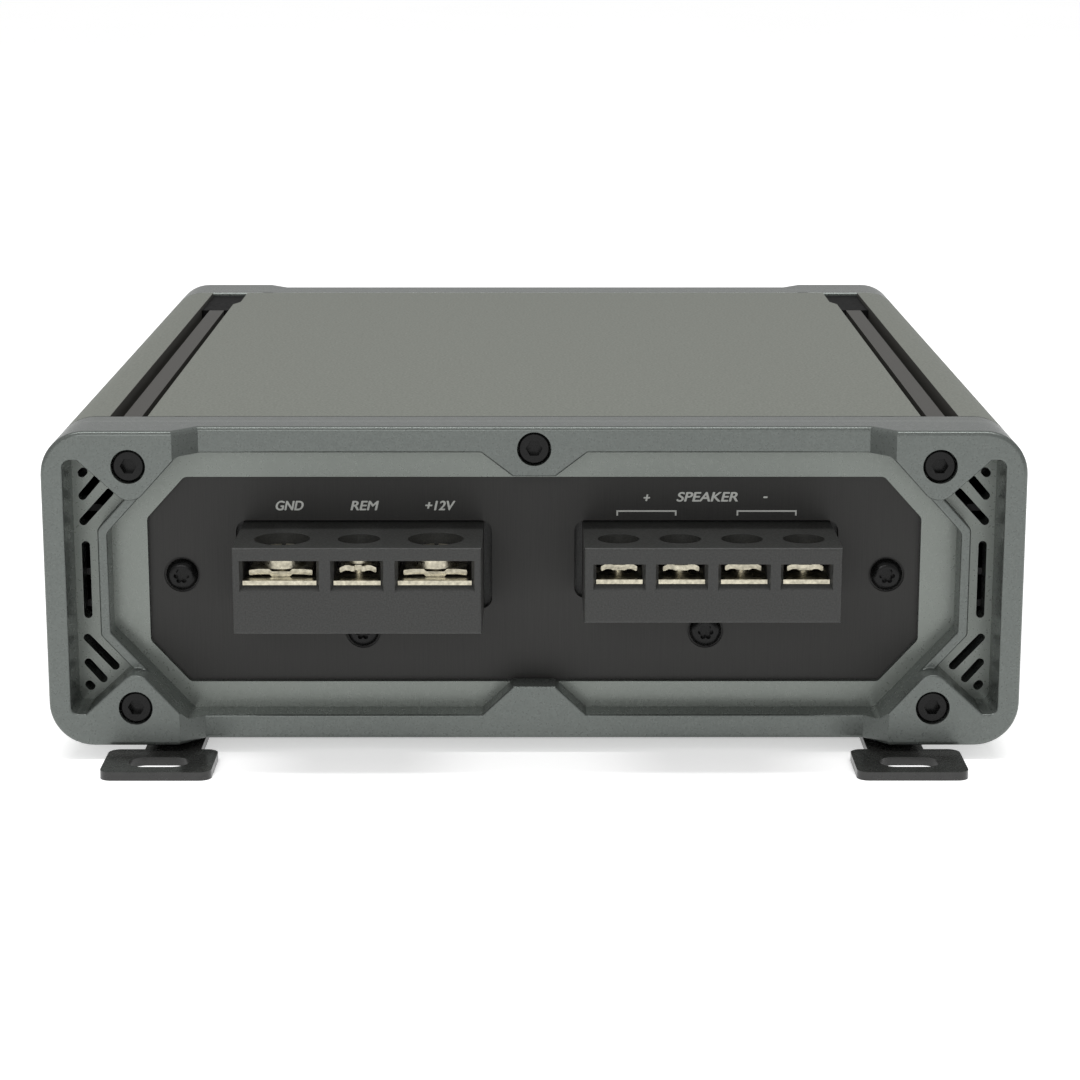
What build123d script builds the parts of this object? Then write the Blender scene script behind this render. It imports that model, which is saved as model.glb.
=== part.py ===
from build123d import *
import math
import os

# Car amplifier: an extruded body between two end caps, standing on four feet.
# X runs across the front, Y runs from the terminal end to the control end, Z is up.
# The origin lies on the floor, under the middle of the body. Millimetres.

# ---- Driving dimensions -------------------------------------------------------------
width = 168.0
body_height = 55.5
length = 188.0
corner_radius = 7.6
body_bottom = 2.5            # height of the body above the floor
cap_depth = 14.5             # each end cap along Y

body_top = body_bottom + body_height
body_mid = body_bottom + body_height / 2
half_width = width / 2
front_y = -length / 2
seam_y = front_y + cap_depth
core_length = length - 2 * cap_depth

# ---- End cap ------------------------------------------------------------------------
rail_recess = 4.4            # the rails lie this far behind the corners
ring_recess = 9.8            # the inner ring lies this far behind the corners
panel_recess = 11.0
grille_recess = 10.0
ramp_inner_inset = 26.5      # from the side of the cap
ramp_outer_inset = 22.5
top_rail = 4.5
bottom_rail = 4.3
ring_side_inset = 10.4
ring_slope = 1.1             # rise over run of the octagon's short sides
ring_flat_from_top = 18.6    # where a short side starts
ring_flat_from_bottom = 19.3
window_side_inset = 16.6
window_top_inset = 9.8
window_bottom_inset = 8.9
window_flat_from_top = 17.1
window_flat_from_bottom = 16.4
strip_width = 1.7
grille_side_inset = 3.8
grille_top_inset = 5.0
grille_bottom_inset = 5.7
boss_corner_inset = 6.3      # outer end of the boss's grille side
boss_slope = 0.92
boss_tip_round = 3.0
grille_corner_round = 1.3
slot_width = 1.45
slot_drop = 0.45             # the middle of the grille's slots below the middle of the body
slot_side_inset = 5.5
# Each slanted slot of a grille: distance in from the outermost slots, and height over the
# middle of the grille, at its two ends.
slanted_slots = (((0.0, 10.5), (4.7, 15.6)), ((0.0, 15.0), (2.5, 17.9)), ((0.0, 19.0), (0.3, 19.3)))
upright_slot = (0.25, 6.2)   # distance in, and half its length
cap_edge_round = 0.8
recess_edge_round = 0.35     # edges of the recesses, where they meet the face and the rails
strip_end_inset = 17.3       # the strip runs out where a boss's tip starts to curve
seam_chamfer = 0.3
notch_side_inset = 22.5      # small notch in the cap's rear edge
notch_size = (2.4, 0.4, 0.6)
wall_edge_round = 1.3        # upright corners of the window, ring and grille

bump_top_half = 9.1
bump_low_half = 3.7
bump_top_drop = 4.15         # below the upper rail's edge
bump_bottom_rise = 5.1       # above the lower rail's edge

# ---- Fasteners ----------------------------------------------------------------------
screw_shank_radius = 1.45    # M3
thread_clearance = 0.02      # shank to tapped hole
pass_clearance = 0.25        # shank to plain hole
cap_head_radius = 2.75
cap_head_height = 3.0
cap_head_clearance = 0.2     # head to counterbore
cap_head_sink = 0.6          # head face below the cap's face
cap_head_chamfer = 0.3
hex_across_flats = 2.5
hex_depth = 1.6
button_head_radius = 2.8
button_head_height = 1.7
button_head_clearance = 0.35
button_dome_round = 0.75 * button_head_height
torx_depth = 1.1
torx_lobe_radius = 0.43
torx_lobe_centre = 0.945
torx_core_radius = 0.97
upward_hex_across_flats = 2.0
upward_hex_depth = 1.0
corner_screw_side_inset = 15.0
corner_screw_top_inset = 6.1
corner_screw_bottom_inset = 6.8
centre_screw_top_inset = 3.9
screw_reach = 8.0            # thread in the body
boss_wall = 2.05             # around a screw's shank
side_boss_length = 20.0      # the side ribs are milled away between the ends

# ---- Extruded body ------------------------------------------------------------------
top_wall = 5.0
inner_wall = 3.0             # between the inside and the side ducts
inside_half = half_width - 15.5
duct_inner = inside_half + inner_wall
duct_outer = half_width - 3.0
duct_edge_inset = 10.5       # duct ends from the top and the bottom of the body
duct_fin_length = 5.0
duct_fin_thickness = 1.2
duct_fin_count = 5
groove_depth = 4.0
outer_groove = (half_width - 11.8, half_width - 10.0)
inner_groove = (half_width - 16.6, half_width - 15.0)
strip_drop = 0.8
plug_length = 23.0
plug_inner_inset = 17.9
plug_step_length = 4.0
plug_fit = 0.1
side_groove_count = 5
side_groove_pitch = 7.5
side_groove_width = 2.4
side_groove_depth = 0.9
ledge_width = 9.5
ledge_thickness = 2.5

# ---- Bottom plate and feet ----------------------------------------------------------
plate_thickness = 1.5
plate_recess = 1.5           # below the plate, inside the body's lower edge
plate_gap = 0.3
foot_thickness = 1.5
foot_reach = 12.0            # past the end cap
foot_tab_width = 19.0
foot_tab_depth = 13.4
foot_tab_centre_inset = 19.6
foot_neck_width = 9.8
foot_neck_centre_inset = 21.1
foot_slot_length = 10.3
foot_slot_width = 5.5
foot_slot_from_edge = 5.9
foot_corner_radius = 2.0
foot_bend_clear = 0.8        # from the cap's rear face to the bend
foot_bend_run = 3.0
foot_end_reach = 21.0        # from the seam to the foot's inner end
foot_screw_from_end = 5.0

# ---- Panels -------------------------------------------------------------------------
panel_thickness = 2.0
panel_margin = 2.6           # panel past the window
panel_fit = 0.2
side_screw_inset = 22.3
side_screw_lift = 0.25       # above the middle of the body
low_screw_x = 30.1
low_screw_from_bottom = 17.85
panel_pocket_depth = 0.4

# ---- Terminal blocks ----------------------------------------------------------------
block_reach = 9.6            # in front of the cap's face
block_top_from_bottom = 37.45
block_cut_side_gap = 1.4     # block to the panel's cut-out
block_cut_top_gap = 0.25
block_cut_bottom_gap = 0.75
block_cut_corner = 2.0
block_edge_round = 0.5
block_flange = 2.5           # housing past its front part, behind the panel
access_from_front = 7.1
access_clearance = 0.85      # screw head to access hole
lip_side = 0.5               # bevel around an opening's mouth
lip_bottom = 1.05
lip_depth = 0.9
# One value per terminal, from left to right. Heights are above the bottom of the body.
power = {
    "x": -29.75, "width": 41.9, "height": 14.9, "pitch": 13.05, "floor": 31.7, "ceiling": 35.25,
    "openings": (12.4, 7.9, 12.4), "shank": (1.95, screw_shank_radius, 1.95), "head": (3.9, 2.75, 3.9),
    "head_height": (2.8, 1.9, 2.8), "lift": (0.05, 0.7, 0.05),
    "tip": (0.25, 0.0, 0.25), "middle": (0.0, 0.25, 0.0), "notch": (0.0, 1.2, 0.0),
}
speaker = {
    "x": 30.05, "width": 43.3, "height": 13.0, "pitch": 10.48, "floor": 31.9, "ceiling": 34.65,
    "openings": (7.8,) * 4, "shank": (screw_shank_radius,) * 4, "head": (2.7,) * 4,
    "head_height": (1.7,) * 4, "lift": (0.75, 0.7, 0.8, 0.75),
    "tip": (0.0,) * 4, "middle": (0.22,) * 4, "notch": (0.0,) * 4,
}
contact_thickness = 0.75
contact_front_gap = 0.6      # behind the housing's face
contact_bar_width = 7.0      # where it runs back to the board
contact_setback = 2.5        # from the board's edge to where it turns down
clamp_thickness = 0.9
clamp_crest = 0.42           # rise of the two crests over the clamp's lowest point
clamp_foot_half = 1.5        # half the width of the pressed middle
clamp_step = 0.45
clamp_corner_round = 0.2
clamp_depth = 7.4
clamp_side_gap = 0.85
clamp_rear_gap = 1.2
clamp_notch_depth = 1.0
clamp_hole_clearance = 0.08
terminal_head_round = 0.6
terminal_slot_width = 0.8
terminal_slot_depth = 1.0
terminal_shank_below = 5.2
shank_well_clearance = 0.5
block_screw_depth = 3.4      # thread in a terminal block
block_rear_wall = 3.5        # behind the contact bars
shaft_clearance = 0.05

# ---- Inside -------------------------------------------------------------------------
standoff_height = 6.0
standoff_wall = 1.55         # around a screw's shank
standoff_from_ledge = 6.0
standoff_from_end = 14.0
board_thickness = 1.6
board_side_gap = 2.5
board_end_gap = 3.5
capacitor_radius = 8.0
capacitor_height = 25.0
capacitor_spacing = 18.4
first_capacitor = (-44.0, 34.0)    # X, and distance behind the front seam
transformer_place = (10.0, -20.0)
inductor_place = (-8.0, 28.0)
transformer_radius = 21.0
transformer_bore = 9.5
transformer_height = 20.0
inductor_radius = 14.0
inductor_bore = 6.5
inductor_height = 14.0
winding_wrap = 2.0
winding_edge_round = 1.5
capacitor_edge_round = 0.8
board_screw_head_round = 1.0
board_screw_end = 2.0        # above the bottom plate
transistor_count = 4
transistor_pitch = 20.0
transistor_width = 10.2
transistor_body = 15.5
transistor_thickness = 4.4
transistor_lift = 4.5        # body above the board
lead_pitch = 2.54
lead_width = 0.8
lead_thickness = 0.6
lead_from_pad = 1.6
pad_thickness = 0.4
clamp_bar_thickness = 2.0
clamp_bar_half_height = 4.0
clamp_bar_lift = 12.75       # middle of the bar above the board
clamp_head_height = 2.0

# ---- Control end --------------------------------------------------------------------
rca_x = 37.0
rca_pitch = 14.0
rca_sleeve_radius = 4.15
rca_sleeve_wall = 0.8
rca_sleeve_reach = 9.0
rca_collar_step = 0.35       # collar where the sleeve meets the panel
rca_collar_front = 0.3
rca_collar_clearance = 0.15
rca_socket_radius = 1.6
rca_contact_wall = 0.4
rca_block_half = 7.0
rca_block_past_board = 6.0   # rear of the jack block behind the board's front edge
rca_contact_setback = 1.5    # behind the mouth of the sleeve
rca_contact_reach = 6.0      # behind the panel
rca_contact_floor = 1.0      # closed end of the centre contact
rca_lug_screw_depth = 8.0
rca_mouth_chamfer = 0.3
control_x = (2.0, -13.0, -28.0)
control_names = ("gain", "crossover", "bass_boost")
knob_radius = 4.6
knob_height = 7.0
knob_panel_gap = 0.5
knob_rib_count = 16
knob_rib_radius = 0.42
knob_pointer_width = 0.8
knob_pointer_depth = 0.6
knob_edge_round = 0.6
knob_rib_setback = 1.4       # ribs start behind the knob's face
pot_shaft_radius = 3.0
pot_shaft_reach = 6.5        # behind the panel
pot_shaft_hole_clearance = 0.4
pot_half = 4.8
pot_above_shaft = 5.0
pot_panel_gap = 0.5
pot_past_board = 4.5
control_lift = 2.0           # controls above the middle of the body
remote_x = -47.0
jack_half_width = 6.0
jack_half_height = 5.5
jack_wall = 1.0
jack_latch_half = 2.0
jack_proud = 0.4             # in front of the panel
jack_past_board = 7.0
jack_rear_wall = 3.0
control_hole_clearance = 0.2
switch_x = 16.5
switch_travel = 2.0          # either side of its middle
switch_half_width = 4.0
switch_lever_half = 1.2
switch_slot_clearance = 0.1
switch_past_board = 2.0
switch_above_middle = 6.5
switch_slot_depth = 4.0
switch_lever_proud = 2.2
switch_lever_round = 0.3
light_lift = 11.0
light_half_spacing = 3.5
light_radius = 1.5
light_clearance = 0.1
light_proud = 0.8
light_reach = 4.0            # behind the panel
light_end_round = 0.7

screw_core_radius = screw_shank_radius + thread_clearance
screw_pass_radius = screw_shank_radius + pass_clearance
cap_head_pocket_radius = cap_head_radius + cap_head_clearance
panel_pocket_radius = button_head_radius + button_head_clearance
boss_radius = screw_shank_radius + boss_wall
standoff_radius = screw_shank_radius + standoff_wall
board_bottom = body_bottom + plate_recess + plate_thickness + standoff_height
board_top = board_bottom + board_thickness
inside_floor = body_bottom + plate_recess + plate_thickness
board_front = seam_y + board_end_gap
panel_front = front_y + panel_recess
panel_rear = panel_front + panel_thickness
block_front = front_y - block_reach
access_y = block_front + access_from_front
opening_rear = access_y + clamp_depth / 2 + clamp_rear_gap
contact_turn = board_front + contact_setback
block_rear = contact_turn + block_rear_wall
control_z = body_mid + control_lift


# ---- Helpers ------------------------------------------------------------------------
def prism(outline, y_from, y_to):
    """Extrude an outline drawn in X and Z between two depths."""
    return extrude(Plane.XZ.offset(-y_from) * outline, amount=y_from - y_to)


def outline_of(points, radius=0.0):
    """A closed outline through points, with every corner rounded."""
    face = Polygon(*points, align=None)
    if radius > 0:
        face = fillet(face.vertices(), radius)
    return face


def block(x_range, y_range, z_range):
    """A box from three pairs of limits."""
    size = [high - low for low, high in (x_range, y_range, z_range)]
    centre = [(high + low) / 2 for low, high in (x_range, y_range, z_range)]
    return Pos(*centre) * Box(*size)


def rod_y(x, z, radius, y_from, y_to):
    """A round bar along Y."""
    return Pos(x, (y_from + y_to) / 2, z) * Rot(90, 0, 0) * Cylinder(radius, y_to - y_from)


def rod_z(x, y, radius, z_from, z_to):
    """A round bar along Z."""
    return Pos(x, y, (z_from + z_to) / 2) * Cylinder(radius, z_to - z_from)


def rod_x(y, z, radius, x_from, x_to):
    """A round bar along X."""
    return Pos((x_from + x_to) / 2, y, z) * Rot(0, 90, 0) * Cylinder(radius, x_to - x_from)


def turned(shape):
    """The same piece at the other end of the amplifier."""
    return Rot(0, 0, 180) * shape


def group(shapes):
    """Several separate solids in one node."""
    solids = [solid for shape in shapes for solid in shape.solids()]
    return Compound(children=solids)


def octagon(side_inset, low, high, flat_low, flat_high, grow=0.0):
    """Points of an octagon whose short sides have the ring's slope."""
    half = half_width - side_inset + grow
    spread = grow * math.hypot(1, ring_slope) - grow * ring_slope
    flat_low = flat_low - spread
    flat_high = flat_high + spread
    top = high + grow
    bottom = low - grow
    top_x = half - (top - flat_high) / ring_slope
    bottom_x = half - (flat_low - bottom) / ring_slope
    right = [(bottom_x, bottom), (half, flat_low), (half, flat_high), (top_x, top)]
    left = [(-x, z) for x, z in reversed(right)]
    return right + left


ring_points = octagon(ring_side_inset, body_bottom + bottom_rail, body_top - top_rail,
                      body_bottom + ring_flat_from_bottom, body_top - ring_flat_from_top)


def window_points(grow=0.0):
    """The opening inside the ring, which the panel closes."""
    return octagon(window_side_inset, body_bottom + window_bottom_inset,
                   body_top - window_top_inset, body_bottom + window_flat_from_bottom,
                   body_top - window_flat_from_top, grow)


# ---- End cap ------------------------------------------------------------------------
def cap_screw_places():
    """Centres of the socket screws that hold an end cap."""
    side = half_width - corner_screw_side_inset
    high = body_top - corner_screw_top_inset
    low = body_bottom + corner_screw_bottom_inset
    return [(side, high), (-side, high), (side, low), (-side, low),
            (0, body_top - centre_screw_top_inset)]


def cap_screw_face(place):
    """Depth of the cap's face around a screw: the middle one is on the rail."""
    return front_y + (rail_recess if place[0] == 0 else 0)


def boss_wedge(side, level):
    """Outline of a corner boss: two slanted sides that meet in a round tip."""
    edge = body_top if level > 0 else body_bottom
    outer_x = half_width - boss_corner_inset
    outer_z = edge - level * (grille_top_inset if level > 0 else grille_bottom_inset)
    ring_x = half_width - ring_side_inset
    ring_z = edge - level * (ring_flat_from_top if level > 0 else ring_flat_from_bottom)
    # The grille side runs down at boss_slope, the ring side at ring_slope.
    tip_x = ring_x - (outer_z - ring_z - level * boss_slope * (outer_x - ring_x)) / (
        level * (boss_slope + ring_slope))
    tip_z = ring_z + level * ring_slope * (ring_x - tip_x)
    reach = 30.0
    points = [(side * tip_x, tip_z), (side * (tip_x + reach), tip_z + level * boss_slope * reach),
              (side * (tip_x - reach), tip_z + level * ring_slope * reach)]
    wedge = outline_of(points)
    tip = wedge.vertices().sort_by(Axis.Y)[0 if level > 0 else -1]
    return fillet(tip, boss_tip_round)


def grille_slots(side):
    """Slots in the floor of one grille: an upright one and two slanted sets."""
    middle = body_mid - slot_drop
    outer = half_width - slot_side_inset
    inset, reach = upright_slot
    slots = [((inset, -reach), (inset, reach))]
    for level in (1, -1):
        for slot in slanted_slots:
            slots.append([(inset, level * height) for inset, height in slot])
    for slot in slots:
        yield [(side * (outer - inset), middle + height) for inset, height in slot]


def make_front_cap():
    outline = Pos(0, body_mid) * RectangleRounded(width, body_height, corner_radius)
    blank = prism(outline, front_y, seam_y)
    outer = half_width - ramp_outer_inset
    inner = half_width - ramp_inner_inset
    setback = Polygon((-outer, front_y), (outer, front_y), (inner, front_y + rail_recess),
                      (-inner, front_y + rail_recess), align=None)
    blank -= Pos(0, 0, body_bottom - 1) * extrude(setback, amount=body_height + 2)
    front_edges = [
        edge for edge in blank.edges()
        if edge.bounding_box().max.Y < front_y + rail_recess + 0.01
        and edge.bounding_box().size.Z < body_height - corner_radius
        or edge.bounding_box().max.Y < front_y + 0.01
    ]
    upright = [edge for edge in front_edges if abs(edge.center().X) < outer + 0.1
               and edge.bounding_box().size.Z > corner_radius]
    cap = fillet([edge for edge in front_edges if edge not in upright], cap_edge_round)
    rear_edges = [edge for edge in cap.edges() if edge.bounding_box().min.Y > seam_y - 0.01]
    cap = chamfer(rear_edges, seam_chamfer)

    ring = outline_of(ring_points, wall_edge_round)
    cap -= prism(ring, front_y - 1, front_y + ring_recess)
    cap += bumps()
    strip = outline_of(octagon(ring_side_inset, body_bottom + bottom_rail,
                               body_top - top_rail, body_bottom + ring_flat_from_bottom,
                               body_top - ring_flat_from_top, strip_width), wall_edge_round)
    recess_middle = body_mid + (grille_bottom_inset - grille_top_inset) / 2
    recess_height = body_height - grille_top_inset - grille_bottom_inset
    middle_block = Pos(0, body_mid) * Rectangle(2 * (half_width - strip_end_inset), body_height)
    for side in (1, -1):
        wedges = boss_wedge(side, 1) + boss_wedge(side, -1)
        recess = Pos(side * (half_width - grille_side_inset - 10), recess_middle) * RectangleRounded(
            20, recess_height, grille_corner_round)
        recess = recess - strip - wedges
        recess = recess.faces().sort_by(Axis.X)[-1 if side > 0 else 0]
        cap -= prism(recess, front_y - 1, front_y + grille_recess)
        lowered = Pos(side * (half_width - 14), body_mid) * Rectangle(28, body_height) & strip
        lowered = (lowered - wedges - middle_block).faces().sort_by(Axis.X)[-1 if side > 0 else 0]
        cap -= prism(lowered, front_y - 1, front_y + rail_recess)
        for start, end in grille_slots(side):
            slot = SlotCenterPoint(
                ((start[0] + end[0]) / 2, (start[1] + end[1]) / 2), end, slot_width)
            cap -= prism(slot, front_y + grille_recess - 1, seam_y + 1)

    window = outline_of(window_points(), wall_edge_round)
    cap -= prism(window, front_y + ring_recess, seam_y + 1)
    cap = fillet(recess_edges(cap), recess_edge_round)
    pocket = outline_of(window_points(panel_margin + panel_fit), wall_edge_round)
    cap -= prism(pocket, front_y + panel_recess, seam_y + 1)

    for side in (1, -1):
        cap -= Pos(side * (half_width - notch_side_inset), seam_y, body_top) * Box(
            *(2 * size if axis else size for axis, size in enumerate(notch_size)))
    for place in cap_screw_places():
        face = cap_screw_face(place)
        cap -= rod_y(*place, cap_head_pocket_radius, face - 1, face + cap_head_height + cap_head_sink)
        cap -= rod_y(*place, screw_pass_radius, face, seam_y + 1)
    return cap


def recess_edges(cap):
    """Edges of the recesses that lie on the cap's face or on the face of its rails."""
    found = []
    for edge in cap.edges():
        box = edge.bounding_box()
        level = box.center().Y
        flat = box.size.Y < 0.01
        on_face = min(abs(level - front_y), abs(level - front_y - rail_recess)) < 0.01
        inside = (max(box.max.X, -box.min.X) < half_width - cap_edge_round - 0.1
                  and box.max.Z < body_top - cap_edge_round - 0.1
                  and box.min.Z > body_bottom + cap_edge_round + 0.1)
        if flat and on_face and inside:
            found.append(edge)
    return found


def bumps():
    """Tabs on the two rails, at the middle. The upper one holds a screw."""
    top_edge = body_top - top_rail
    low_edge = body_bottom + bottom_rail
    upper = Polygon((-bump_top_half, top_edge), (-bump_low_half, top_edge - bump_top_drop),
                    (bump_low_half, top_edge - bump_top_drop), (bump_top_half, top_edge),
                    (bump_top_half, top_edge + 1), (-bump_top_half, top_edge + 1), align=None)
    lower = Polygon((-bump_top_half, low_edge - 1), (bump_top_half, low_edge - 1),
                    (bump_top_half, low_edge), (bump_low_half, low_edge + bump_bottom_rise),
                    (-bump_low_half, low_edge + bump_bottom_rise), (-bump_top_half, low_edge),
                    align=None)
    start = front_y + rail_recess
    end = front_y + ring_recess
    return prism(upper, start, end) + prism(lower, start, end)


def socket_screw(place, face):
    """An M3 socket cap screw, its head in the cap and its thread in the body."""
    x, z = place
    head_front = face + cap_head_sink
    head_rear = head_front + cap_head_height
    screw = rod_y(x, z, cap_head_radius, head_front, head_rear)
    rim = screw.faces().sort_by(Axis.Y)[0].edges()
    screw = chamfer(rim, cap_head_chamfer)
    screw += rod_y(x, z, screw_shank_radius, head_rear, seam_y + screw_reach)
    socket = Pos(x, z) * RegularPolygon(hex_across_flats / 2, 6, major_radius=False)
    return screw - prism(socket, head_front - 1, head_front + hex_depth)


def button_screw(place, face, reach):
    """An M3 button-head screw with a six-lobed socket, pointing along Y."""
    x, z = place
    head_front = face - button_head_height
    screw = rod_y(x, z, button_head_radius, head_front, face)
    screw = fillet(screw.faces().sort_by(Axis.Y)[0].edges(), button_dome_round)
    screw += rod_y(x, z, screw_shank_radius, face, face + reach)
    lobes = Pos(x, z) * Circle(torx_core_radius)
    for index in range(6):
        angle = math.radians(60 * index)
        centre = (x + torx_lobe_centre * math.cos(angle), z + torx_lobe_centre * math.sin(angle))
        lobes += Pos(*centre) * Circle(torx_lobe_radius)
    return screw - prism(lobes, head_front - 1, head_front + torx_depth)


# ---- Body ---------------------------------------------------------------------------
def body_section():
    outline = Pos(0, body_mid) * RectangleRounded(width, body_height, corner_radius)
    inside_top = body_top - top_wall
    inside = Pos(0, (body_bottom - 1 + inside_top) / 2) * Rectangle(
        2 * inside_half, inside_top - body_bottom + 1)
    section = outline - inside
    duct_low = body_bottom + duct_edge_inset
    duct_high = body_top - duct_edge_inset
    for side in (1, -1):
        duct = Pos(side * (duct_inner + duct_outer) / 2, body_mid) * RectangleRounded(
            duct_outer - duct_inner, duct_high - duct_low, 1.0)
        pitch = (duct_high - duct_low) / (duct_fin_count + 1)
        for index in range(duct_fin_count):
            fin_x = side * (duct_outer - duct_fin_length / 2)
            fin_z = duct_low + (index + 1) * pitch
            duct -= Pos(fin_x, fin_z) * Rectangle(duct_fin_length, duct_fin_thickness)
        section -= duct
        for low, high in (outer_groove, inner_groove):
            section -= Pos(side * (low + high) / 2, body_top - groove_depth / 2 + 0.5) * Rectangle(
                high - low, groove_depth + 1)
        strip_low, strip_high = inner_groove[1], outer_groove[0]
        section -= Pos(side * (strip_low + strip_high) / 2, body_top) * Rectangle(
            strip_high - strip_low, 2 * strip_drop)
        for index in range(side_groove_count):
            groove_z = body_mid + (index - (side_groove_count - 1) / 2) * side_groove_pitch
            section -= Pos(side * half_width, groove_z) * Rectangle(
                2 * side_groove_depth, side_groove_width)
        ledge_x = inside_half - ledge_width / 2 + 0.5
        section += Pos(side * ledge_x, inside_floor + ledge_thickness / 2) * Rectangle(
            ledge_width + 1, ledge_thickness)
        screw_x = half_width - side_screw_inset
        rib = (screw_x + inside_half) / 2
        section += Pos(side * rib, body_mid + side_screw_lift) * Rectangle(
            inside_half - screw_x + 1, boss_radius)
        section += Pos(side * screw_x, body_mid + side_screw_lift) * Circle(boss_radius)
    for place in cap_screw_places():
        section += Pos(*place) * Circle(boss_radius)
    section -= Pos(0, body_bottom - 1) * Rectangle(
        2 * (inside_half - ledge_width), 2 * (inside_floor + ledge_thickness - body_bottom + 1))
    section -= Pos(0, (body_bottom - 1 + inside_floor) / 2) * Rectangle(
        2 * inside_half, inside_floor - body_bottom + 1)
    section = section & outline
    for place in cap_screw_places():
        section -= Pos(*place) * Circle(screw_core_radius)
    for side in (1, -1):
        section -= Pos(side * (half_width - side_screw_inset), body_mid + side_screw_lift) * Circle(
            screw_core_radius)
    return section


def plug_outline(side, shrink):
    """Plan of the black plug that closes the far end of a top channel."""
    inner = half_width - plug_inner_inset + shrink
    outer = outer_groove[1] - shrink
    step = inner_groove[0] + shrink
    far = seam_y + core_length
    near = far - plug_length + shrink
    points = [(side * outer, near), (side * outer, far), (side * inner, far),
              (side * inner, near + 2 * plug_step_length), (side * step, near + plug_step_length),
              (side * step, near)]
    return points if side > 0 else points[::-1]


def plug_pocket(side, shrink, low):
    face = Polygon(*plug_outline(side, shrink), align=None)
    return Pos(0, 0, low) * extrude(face, amount=body_top - low + 1)


def foot_screw_places():
    side = half_width - foot_neck_centre_inset
    along = -seam_y - foot_end_reach + foot_screw_from_end
    return [(x, y) for x in (side, -side) for y in (along, -along)]


def plate_screw_places():
    side = half_width - foot_neck_centre_inset
    along = core_length / 7
    return [(x, y) for x in (side, -side) for y in (along, -along)]


def make_body():
    body = prism(body_section(), seam_y, seam_y + core_length)
    rib_z = body_mid + side_screw_lift
    rib_start = half_width - side_screw_inset - boss_radius - 1
    for side in (1, -1):
        body -= plug_pocket(side, 0.0, body_top - groove_depth)
        body -= block(mirrored(side, (rib_start, inside_half)),
                      (seam_y + side_boss_length, -seam_y - side_boss_length),
                      (rib_z - boss_radius - 1, rib_z + boss_radius + 1))
    for x, y in foot_screw_places() + plate_screw_places():
        body -= rod_z(x, y, screw_core_radius, inside_floor - 1, inside_floor + ledge_thickness + 1)
    for side in (1, -1):
        for y in transistor_screw_places():
            edge = side * inside_half
            body -= rod_x(y, clamp_bar_height(), screw_core_radius,
                          *sorted((edge - side, edge + side * (inner_wall + 1))))
    return body


def make_plugs():
    plugs = []
    for side in (1, -1):
        plug = plug_pocket(side, plug_fit, body_top - groove_depth)
        plug -= block((-width, width), (-length, length), (body_top - strip_drop, body_top + 5))
        plugs.append(plug)
    return group(plugs)


def make_bottom_plate():
    half = inside_half - plate_gap
    low = body_bottom + plate_recess
    plate = block((-half, half), (seam_y + plate_gap, -seam_y - plate_gap),
                  (low, low + plate_thickness))
    for x, y in foot_screw_places() + plate_screw_places():
        plate -= rod_z(x, y, screw_pass_radius, low - 1, low + plate_thickness + 1)
    for x, y in standoff_places():
        plate -= rod_z(x, y, screw_pass_radius, low - 1, low + plate_thickness + 1)
    return plate


def make_foot():
    """The foot at the front, on the right. It steps up from the floor to the plate."""
    tab_x = half_width - foot_tab_centre_inset
    neck_x = half_width - foot_neck_centre_inset
    tab_front = front_y - foot_reach
    tab_rear = tab_front + foot_tab_depth
    neck_end = seam_y + foot_end_reach
    bend_start = seam_y + foot_bend_clear
    bend_end = bend_start + foot_bend_run
    rise = body_bottom + plate_recess - foot_thickness
    side_view = Polygon(
        (tab_front, 0), (bend_start, 0), (bend_end, rise), (neck_end, rise),
        (neck_end, rise + foot_thickness), (bend_end, rise + foot_thickness),
        (bend_start, foot_thickness), (tab_front, foot_thickness), align=None)
    strip = extrude(Plane.YZ * side_view, amount=width)
    tab = Pos(tab_x, (tab_front + tab_rear) / 2) * RectangleRounded(
        foot_tab_width, foot_tab_depth, foot_corner_radius)
    neck_start = tab_rear - foot_tab_depth / 2
    neck = Pos(neck_x, (neck_start + neck_end) / 2) * RectangleRounded(
        foot_neck_width, neck_end - neck_start, foot_corner_radius)
    plan = tab + neck
    slot_y = tab_front + foot_slot_from_edge
    plan -= Pos(tab_x, slot_y) * SlotOverall(foot_slot_length, foot_slot_width)
    foot = strip & (Pos(0, 0, -1) * extrude(plan, amount=10))
    screw_y = neck_end - foot_screw_from_end
    return foot - rod_z(neck_x, screw_y, screw_pass_radius, -1, 10)


def upward_screw(x, y, face):
    """An M3 button-head screw driven upward, its head under a face."""
    screw = rod_z(x, y, button_head_radius, face - button_head_height, face)
    screw = fillet(screw.faces().sort_by(Axis.Z)[0].edges(), button_dome_round)
    screw += rod_z(x, y, screw_shank_radius, face, inside_floor + ledge_thickness)
    socket = Pos(x, y) * RegularPolygon(upward_hex_across_flats / 2, 6, major_radius=False)
    low = face - button_head_height
    return screw - Pos(0, 0, low) * extrude(socket, amount=upward_hex_depth)


# ---- Panels -------------------------------------------------------------------------
def side_screw_places():
    x = half_width - side_screw_inset
    return [(x, body_mid + side_screw_lift), (-x, body_mid + side_screw_lift)]


def low_screw_places():
    z = body_bottom + low_screw_from_bottom
    return [(low_screw_x, z), (-low_screw_x, z)]


def make_panel_blank():
    """The plate behind an end cap's window, with pads that meet the body."""
    panel = prism(outline_of(window_points(panel_margin), wall_edge_round), panel_front, panel_rear)
    for place in side_screw_places():
        panel += rod_y(*place, boss_radius, panel_rear - panel_thickness / 2, seam_y)
    for place in side_screw_places() + low_screw_places():
        panel -= rod_y(*place, panel_pocket_radius, panel_front - 1, panel_front + panel_pocket_depth)
        panel -= rod_y(*place, screw_pass_radius, panel_front, seam_y + 1)
    return panel


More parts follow.
